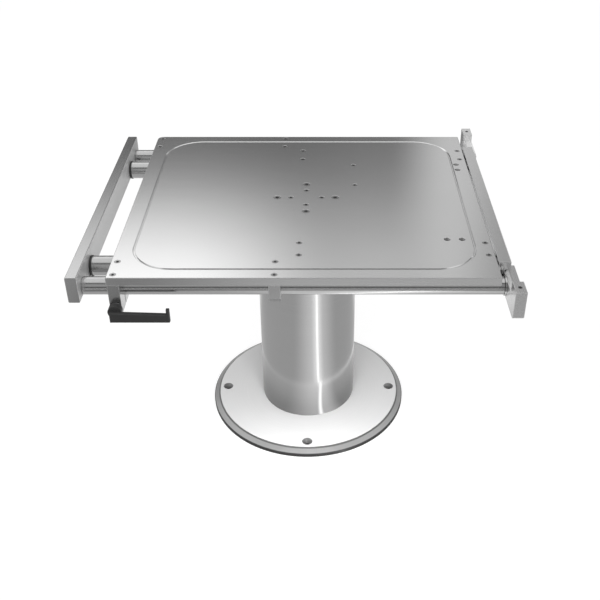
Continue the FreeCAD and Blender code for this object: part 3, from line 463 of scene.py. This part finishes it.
def base_roughness(t):
    return BASE_ROUGHNESS + swing(round_marks(t, 2 * BASE_MARKS), spread=0.08)


def base_metallic(t):
    rim, step, foot, sinks = base_masks(t)
    return DISC_METALLIC + RIM_EXTRA_METALLIC * rim.most(sinks)


def base_relief(t):
    return bump(t, round_marks(t, BASE_MARKS), strength=0.08, depth=0.00005)


MOULD_CLOUDS = even(35)
MOULD_PATCHES = even(140)
GRAIN_DETAIL = 4


def moulded_finish(name, level, roughness, grain, depth):
    """Rubber or plastic with the fine grain of its mould, and slight clouds in its colour and its gloss."""

    def colour(t):
        return as_grey(t, level * (1 + swing(noise(t, MOULD_CLOUDS), spread=0.3)))

    def rough(t):
        return roughness + swing(noise(t, MOULD_PATCHES, GRAIN_DETAIL), spread=0.12)

    def relief(t):
        return bump(t, noise(t, even(grain), GRAIN_DETAIL), strength=0.35, depth=depth)

    return surface(name, colour, rough, metallic=0.0, normal=relief)


finish(["base_flange"], surface("satin_base", base_colour, base_roughness, base_metallic, base_relief))
black_rubber = moulded_finish("black_rubber", level=0.022, roughness=0.62, grain=900, depth=0.0001)
finish(["base_gasket", "cable_grommet"], black_rubber)

# The column: two drawn and polished tubes, one inside the other, with plastic guide rings between them and a
# rubber seal that wipes the inner one. The polish runs round the tube, so a light stands on it as a long
# upright streak. The foot ring screws it to the base, and the head flange to the plate.
ANISOTROPIC_QUARTER_TURN = 0.25


def turned_finish(name, level, roughness, spacing, anisotropic):
    """Metal that is turned or polished round its axis, with marks at the spacing."""

    def colour(t):
        marks = 1 + swing(round_marks(t, spacing), spread=0.1)
        clouds = 1 + swing(noise(t, METAL_CLOUDS), spread=0.06)
        return as_grey(t, level * marks * clouds)

    def rough(t):
        return roughness + swing(round_marks(t, 2 * spacing), spread=0.08)

    def relief(t):
        return bump(t, round_marks(t, spacing), strength=0.08, depth=0.00005)

    return surface(name, colour, rough, normal=relief, **{
        "Anisotropic": anisotropic, "Anisotropic Rotation": ANISOTROPIC_QUARTER_TURN})


finish(["outer_tube", "inner_tube"],
       turned_finish("polished_column", level=0.47, roughness=0.14, spacing=0.0008, anisotropic=0.5))
finish(["foot_ring", "head_flange", "actuator_foot_bracket", "actuator_head_bracket"],
       turned_finish("machined_parts", level=0.5, roughness=0.35, spacing=0.0008, anisotropic=0.3))
finish(["upper_guide_ring"],
       moulded_finish("black_ring", level=0.03, roughness=0.5, grain=700, depth=0.0001))
finish(["lower_glide_ring"],
       moulded_finish("glide_ring", level=0.62, roughness=0.45, grain=700, depth=0.00005))
finish(["wiper_seal"], black_rubber)

# The actuator: a painted gear case and motor, a plain drawn tube and a chromed rod. It stands inside the
# column, pinned to the bracket at its foot and to the one at its head.
finish(["gear_case", "motor"],
       moulded_finish("actuator_paint", level=0.03, roughness=0.4, grain=500, depth=0.00008))
finish(["actuator_tube"],
       turned_finish("drawn_tube", level=0.45, roughness=0.35, spacing=0.001, anisotropic=0.5))
finish(["piston_rod", "lower_pin", "upper_pin"],
       turned_finish("chromed_rod", level=0.62, roughness=0.12, spacing=0.0006, anisotropic=0.2))

# The top plate: milled aluminium, brushed across and satin anodised, with a bevelled rim and a round-cornered
# groove. It is bolted down on the column's head, and the edges are blunted by handling.
BRUSHED_ALONG_X = (14, 1500, 1500)
PLATE_CLOUDS = even(6)
PLATE_CLOUD_SEED = 3.1
# The tone and the scatter of the faces that are painted light.
PAINTED_LIGHT_LEVEL = 0.95
PAINTED_LIGHT_SCATTER = 0.8
BLUNT_ROUGHNESS = 0.2


def edge_distance(tree, low, high):
    """The distance to the nearest edge of a box-shaped piece, on its surface."""
    gaps = [(value - a).least(b - value).size() for value, a, b in zip(tree.place(), low, high)]
    nearest = gaps[0].least(gaps[1])
    return nearest.most(gaps[0].most(gaps[1]).least(gaps[2]))


def milled_finish(name, node, level, roughness, marks, painted_edge_light=1.0, shade=None, painted_light_faces=None, edge_scatter=0.08):
    """Milled aluminium with blunted edges, which scatter the light. The edges' colour is scaled by a factor
    of painted light:
    painted shade below 1, a painted highlight above 1. shade gives the share of the colour that painted shade
    leaves at a place, and the marked faces get painted light: a lighter tone, and less metal."""
    low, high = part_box(node)

    def blunt(t):
        return edge_distance(t, low, high).rise(none_at=0.0014, all_at=0.0005)

    def colour(t):
        brushing = 1 + swing(noise(t, marks), spread=0.08)
        clouds = 1 + swing(noise(t, PLATE_CLOUDS, seed=PLATE_CLOUD_SEED), spread=0.06)
        tone = level * brushing * clouds
        if shade:
            tone = tone * shade(t)
        if painted_light_faces:
            # Painted light: the marked faces are lifted towards a light tone.
            tone = tone + painted_light_faces(t) * (PAINTED_LIGHT_LEVEL - tone)
        # Painted light at the edges: darker below 1, lighter above 1.
        return as_grey(t, tone * (1 + blunt(t) * (painted_edge_light - 1)))

    def rough(t):
        base = roughness(t) if callable(roughness) else roughness
        return base + swing(noise(t, marks), spread=0.1) + blunt(t) * BLUNT_ROUGHNESS

    def metallic(t):
        scattering = edge_scatter * blunt(t)
        return 1 - (scattering.most(PAINTED_LIGHT_SCATTER * painted_light_faces(t)) if painted_light_faces else scattering)

    def relief(t):
        return bump(t, noise(t, marks), strength=0.05, depth=0.00004)

    return surface(name, colour, rough, metallic, relief)


PLATE_LOW, PLATE_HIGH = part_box("top_plate")
GROOVE_REACH = (0.3015, 0.264)
GROOVE_CORNER = 0.075
GROOVE_HALF_WIDTH = 0.0034
PLATE_HOLE_SHADE = 0.72


def hole_shade(t):
    """Painted shade: darkens the sinks and bores that go down from the plate's face, but not its groove."""
    x, y, z = t.place()
    past = [value.size() - (reach - GROOVE_CORNER) for value, reach in zip((x, y), GROOVE_REACH)]
    corner = distance(past[0].most(0), past[1].most(0))
    from_groove = (corner + past[0].most(past[1]).least(0) - GROOVE_CORNER).size()
    off_groove = from_groove.over(GROOVE_HALF_WIDTH, near=0, far=0.0004)
    sunk = z.under(PLATE_HIGH[2], near=0.0002, far=0.0004) * z.over(PLATE_LOW[2], near=0.0002, far=0.0006)
    within = (x.size().under(PLATE_HIGH[0], near=0.0011, far=0.0013)
              * y.size().under(PLATE_HIGH[1], near=0.0011, far=0.0013))
    return 1 - PLATE_HOLE_SHADE * sunk * within * off_groove


# The plate's colour carries painted shade: its sinks and bores are darkened, and its blunted edges are
# darkened too.
finish(["top_plate"], milled_finish(
    "satin_plate", "top_plate", level=0.8, roughness=0.16, marks=BRUSHED_ALONG_X, painted_edge_light=0.85,
    shade=hole_shade))


# The threads of the fitting holes: two pairs of tapped holes that go through the plate for clamps and
# fittings. The tap leaves a ridge that climbs along the wall of each bore.
class Pattern:
    """A Geometry Nodes tree with named sizes. Its end realises the copies and gives them their material."""

    KINDS = {int: "NodeSocketInt", float: "NodeSocketFloat"}

    def __init__(self, name, sizes):
        self.sizes = sizes
        self.group = bpy.data.node_groups.new(name, "GeometryNodeTree")
        sockets = self.group.interface
        sockets.new_socket(name="Geometry", in_out="OUTPUT", socket_type="NodeSocketGeometry")
        self.keys = {}
        for size, value in sizes.items():
            socket = sockets.new_socket(name=size, in_out="INPUT", socket_type=self.KINDS[type(value)])
            self.keys[size] = socket.identifier
        self.given = self.group.nodes.new("NodeGroupInput").outputs

    def add(self, kind, inputs, **settings):
        node = self.group.nodes.new("GeometryNode" + kind)
        for name, value in settings.items():
            setattr(node, name, value)
        for name, value in inputs.items():
            if isinstance(value, bpy.types.NodeSocket):
                self.group.links.new(value, node.inputs[name])
            else:
                node.inputs[name].default_value = value
        return node.outputs[0]

    def circle(self, sides, radius):
        return self.add("CurvePrimitiveCircle", {"Resolution": sides, "Radius": radius}, mode="RADIUS")

    def join(self, *parts):
        node = self.group.nodes.new("GeometryNodeJoinGeometry")
        for part in parts:
            self.group.links.new(part, node.inputs["Geometry"])
        return node.outputs[0]

    def row(self, shape, start, step, count):
        """Copies of the shape along a straight row."""
        line = {"Count": count, "Start Location": start, "Offset": step}
        points = self.add("MeshLine", line, mode="OFFSET")
        return self.add("InstanceOnPoints", {"Points": points, "Instance": shape})

    def piece(self, name, shape, material, body, slot):
        """Makes a plain mesh of the tree's result, which rides on the body."""
        realised = self.add("RealizeInstances", {"Geometry": shape})
        painted = self.add("SetMaterial", {"Geometry": realised, "Material": material})
        self.group.links.new(painted, self.group.nodes.new("NodeGroupOutput").inputs["Geometry"])
        holder = bpy.data.objects.new(name + "_pattern", bpy.data.meshes.new(name + "_pattern"))
        bpy.context.scene.collection.objects.link(holder)
        modifier = holder.modifiers.new("pattern", "NODES")
        modifier.node_group = self.group
        for size, value in self.sizes.items():
            modifier[self.keys[size]] = value
        evaluated = holder.evaluated_get(bpy.context.evaluated_depsgraph_get())
        made = bpy.data.objects.new(name, bpy.data.meshes.new_from_object(evaluated))
        bpy.data.objects.remove(holder)
        bpy.context.scene.collection.objects.link(made)
        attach(made, body)


ROD_CLOUDS = (900, 6, 6)
ROD_PATCHES = (600, 5, 5)
ROD_GRAIN = (1200, 6, 6)


def ground_finish(name, level, roughness):
    """Steel or cut metal with fine marks round a piece that lies along X."""

    def colour(t):
        return as_grey(t, level * (1 + swing(noise(t, ROD_CLOUDS), spread=0.1)))

    def rough(t):
        return roughness + swing(noise(t, ROD_PATCHES), spread=0.06)

    def relief(t):
        return bump(t, noise(t, ROD_GRAIN), strength=0.04, depth=0.00004)

    return surface(name, colour, rough, normal=relief)


THREAD_STEPS = 20
RIDGE_SIDES = 3
RIDGE_SHARE_OF_PITCH = 0.36


def thread(pattern):
    """One thread: a ridge with three sides that climbs along the wall of its bore."""
    size = pattern.given
    spiral = pattern.add("CurveSpiral", {
        "Resolution": size["Steps"], "Rotations": size["Turns"], "Start Radius": size["Radius"],
        "End Radius": size["Radius"], "Height": size["Height"]})
    ridge = pattern.circle(RIDGE_SIDES, size["Ridge"])
    return pattern.add("CurveToMesh", {"Curve": spiral, "Profile Curve": ridge, "Fill Caps": True})


def thread_sizes(radius, height, pitch):
    return {"Steps": THREAD_STEPS, "Turns": height / pitch, "Radius": radius, "Height": height,
            "Ridge": pitch * RIDGE_SHARE_OF_PITCH}


FITTING_THREAD_FOOT = PLATE_LOW[2] + 0.0006
SIDE_FITTING = (0.311, 0.124, FITTING_THREAD_FOOT)
SIDE_FITTING_STEP = (0, 0.025, 0)
FRONT_FITTING = (0.2555, -0.1626, FITTING_THREAD_FOOT)
FRONT_FITTING_STEP = (0.027, 0, 0)

fitting_threads = Pattern("fitting_threads", thread_sizes(radius=0.0026, height=0.0105, pitch=0.001))
fitting_thread = thread(fitting_threads)
side_pair = fitting_threads.row(fitting_thread, SIDE_FITTING, SIDE_FITTING_STEP, count=2)
front_pair = fitting_threads.row(fitting_thread, FRONT_FITTING, FRONT_FITTING_STEP, count=2)
fitting_threads.piece("fitting_hole_threads", fitting_threads.join(side_pair, front_pair),
                      ground_finish("tapped_metal", level=0.3, roughness=0.35), "lift", "plate_metal")

# The guide blocks: eight pieces of aluminium, sawn from bar and milled, with plastic bushes pressed into
# their bores. Two screws hold each one up against the plate, and the front left one is split as a clamp.
BRUSHED_ALONG_Y = (1500, 14, 1500)

for name in [name for name in nodes if name.endswith("_block")]:
    finish([name], milled_finish(name + "_metal", name, level=0.6, roughness=0.22, marks=BRUSHED_ALONG_Y))
finish([name for name in nodes if name.endswith("_bush")],
       moulded_finish("bush_plastic", level=0.6, roughness=0.5, grain=700, depth=0.00005))

# The left frame: a milled bar with two ground steel rods screwed to its inner face. The rods slide in the
# guide blocks, and a washer on the end of each one stops it there.
BAR_INNER_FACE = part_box("left_bar")[1][0]
BAR_ROUGHNESS = 0.18
SAWN_EXTRA_ROUGHNESS = 0.27
INNER_FACE_PAINTED_LIGHT = 0.5


def inner_face(t):
    return t.place()[0].over(BAR_INNER_FACE, near=-0.0006, far=-0.0003)


def left_bar_roughness(t):
    """The inner face keeps the blur of the saw; the others are milled."""
    return BAR_ROUGHNESS + SAWN_EXTRA_ROUGHNESS * inner_face(t)


# Painted light: half of the inner face's colour is lifted to a light tone, as a painted reflection between
# the rods.
def left_bar_painted_light(t):
    return INNER_FACE_PAINTED_LIGHT * inner_face(t)


# The bar's edges are lighter in colour, a painted highlight, and its inner face is painted light.
finish(["left_bar"], milled_finish(
    "left_bar_metal", "left_bar", level=0.55, roughness=left_bar_roughness, marks=BRUSHED_ALONG_Y, painted_edge_light=1.2,
    painted_light_faces=left_bar_painted_light, edge_scatter=0.3))
ground_steel = ground_finish("ground_steel", level=0.52, roughness=0.21)
finish(["front_rod", "rear_rod", "front_stop_washer", "rear_stop_washer"], ground_steel)

# The right frame: a flat bar with a milled arm and lug screwed on at each end, and two steel tubes. Black
# plastic plugs close the tubes' free ends, and their rims stop the tubes in the guide blocks.
NOTCH_FLOOR = 0.475
NOTCH_BEVEL_FOOT = 0.469
NOTCH_START = 0.2385
NOTCH_END = 0.3034
ARM_OUTER_FACE = 0.3665
ARM_ROUGHNESS = 0.28


def notch_painted_light(top):
    """Marks the faces that the mill cut between the bar and the lug, up to the height of top, to be painted
    light.
    """

    def marked(t):
        x, y, z = t.place()
        along = y.size().over(NOTCH_START, near=0, far=0.001) * y.size().under(NOTCH_END, near=0, far=0.0004)
        height = z.over(NOTCH_BEVEL_FOOT, near=-0.0002, far=0) * z.under(top, near=-0.0001, far=0.0002)
        return along * height * x.under(ARM_OUTER_FACE, near=0.0001, far=0.0005)

    return marked


UP_TO_BEVEL = NOTCH_FLOOR - 0.0002
UP_TO_FLOOR = NOTCH_FLOOR + 0.0005

finish(["right_bar"], milled_finish(
    "right_bar_metal", "right_bar", level=0.74, roughness=0.18, marks=BRUSHED_ALONG_Y))
# Painted light: each arm's notch faces are lifted to a light tone, up to the floor on the rear arm, and the
# rear arm has a lighter tone all over than the front one, as painted light.
finish(["front_lug_arm"], milled_finish(
    "front_lug_arm_metal", "front_lug_arm", level=0.7, roughness=ARM_ROUGHNESS, marks=BRUSHED_ALONG_Y,
    painted_light_faces=notch_painted_light(UP_TO_BEVEL)))
finish(["rear_lug_arm"], milled_finish(
    "rear_lug_arm_metal", "rear_lug_arm", level=0.9, roughness=ARM_ROUGHNESS, marks=BRUSHED_ALONG_Y,
    painted_light_faces=notch_painted_light(UP_TO_FLOOR)))
finish(["front_tube", "rear_tube"], ground_steel)
moulded_plastic = moulded_finish("moulded_plastic", level=0.042, roughness=0.42, grain=800, depth=0.00012)
finish(["front_tube_plug", "rear_tube_plug"], moulded_plastic)

# The threads of the lugs: each lug is tapped through, for the rail or the fitting that the table carries.
# They are coarser than the threads in the plate.
FRONT_LUG_THREAD = (0.357, -0.321, 0.4716)
LUG_THREAD_STEP = (0, 0.642, 0)

lug_threads = Pattern("lug_threads", thread_sizes(radius=0.0035, height=0.0178, pitch=0.00125))
lug_pair = lug_threads.row(thread(lug_threads), FRONT_LUG_THREAD, LUG_THREAD_STEP, count=2)
lug_threads.piece("lug_hole_threads", lug_pair,
                  ground_finish("tapped_lug", level=0.3, roughness=0.35), "right_slide", "bar_metal")

# The clamp lever: black plastic, moulded on a steel stud with a fine spark-eroded grain. A quarter turn draws
# the split guide block together round the front rod.
finish(["clamp_lever"], moulded_plastic)
finish(["clamp_stud", "lever_washer"], ground_steel)

# The control unit: a plastic box screwed under the plate. It is moulded with cooling ribs down its outer side
# and two round sockets at its rear end, for the actuator and the switch.
UNIT_LOW, UNIT_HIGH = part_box("control_unit")
UNIT_MIDDLE = [(low + high) / 2 for low, high in zip(UNIT_LOW, UNIT_HIGH)]
RIB_COUNT = 17
RIB_MARGIN = 0.012
RIB_END_MARGIN = 0.005
RIB_FOOT = (UNIT_HIGH[0], 0, UNIT_LOW[2] + RIB_END_MARGIN)
RIB_HEAD = (UNIT_HIGH[0], 0, UNIT_HIGH[2] - RIB_END_MARGIN)
RIB_SIDES = 10
FIRST_RIB = UNIT_LOW[1] + RIB_MARGIN
RIB_STEP = (UNIT_HIGH[1] - UNIT_LOW[1] - 2 * RIB_MARGIN) / (RIB_COUNT - 1)

finish(["control_unit"], moulded_plastic)
unit_plastic = moulded_finish("unit_plastic", level=0.03, roughness=0.42, grain=800, depth=0.00012)

cooling_ribs = Pattern("cooling_ribs", {"Rib Radius": 0.0009})
rib_line = cooling_ribs.add("CurvePrimitiveLine", {"Start": RIB_FOOT, "End": RIB_HEAD})
rib_section = cooling_ribs.circle(RIB_SIDES, cooling_ribs.given["Rib Radius"])
rib = cooling_ribs.add("CurveToMesh", {"Curve": rib_line, "Profile Curve": rib_section, "Fill Caps": True})
ribs = cooling_ribs.row(rib, (0, FIRST_RIB, 0), (0, RIB_STEP, 0), RIB_COUNT)
cooling_ribs.piece("control_unit_ribs", ribs, unit_plastic, "lift", "black_plastic")

SOCKET_SPACING = 0.0136
FIRST_SOCKET = (UNIT_MIDDLE[0] - SOCKET_SPACING / 2, UNIT_HIGH[1], UNIT_MIDDLE[2])
SOCKET_SIDES = 32
COLLAR_SIDES = 8
SOCKET_PIN_COUNT = 4
FACING_BACK = (math.pi / 2, 0, 0)

sockets = Pattern("sockets", {"Socket Radius": 0.0046, "Collar": 0.0007, "Pin Circle": 0.0022, "Pin": 0.0004})
collar_line = sockets.circle(SOCKET_SIDES, sockets.given["Socket Radius"])
collar_section = sockets.circle(COLLAR_SIDES, sockets.given["Collar"])
collar = sockets.add("CurveToMesh", {"Curve": collar_line, "Profile Curve": collar_section})
pin = sockets.add("MeshUVSphere", {"Segments": 10, "Rings": 6, "Radius": sockets.given["Pin"]})
pin_circle = sockets.add("MeshCircle", {"Vertices": SOCKET_PIN_COUNT, "Radius": sockets.given["Pin Circle"]})
pins = sockets.add("InstanceOnPoints", {"Points": pin_circle, "Instance": pin})
socket = sockets.add("Transform", {"Geometry": sockets.join(collar, pins), "Rotation": FACING_BACK})
socket_pair = sockets.row(socket, FIRST_SOCKET, (SOCKET_SPACING, 0, 0), count=2)
sockets.piece("control_unit_sockets", socket_pair, unit_plastic, "lift", "black_plastic")

# The screws: stainless steel with hexagon sockets, cold headed and rolled. They hold the column, the blocks,
# the bars and the brackets, and stand in sinks where they would catch on the table.
finish([name for name in nodes if name.endswith(("_screws", "_bolts"))],
       ground_finish("screw_steel", level=0.4, roughness=0.3))
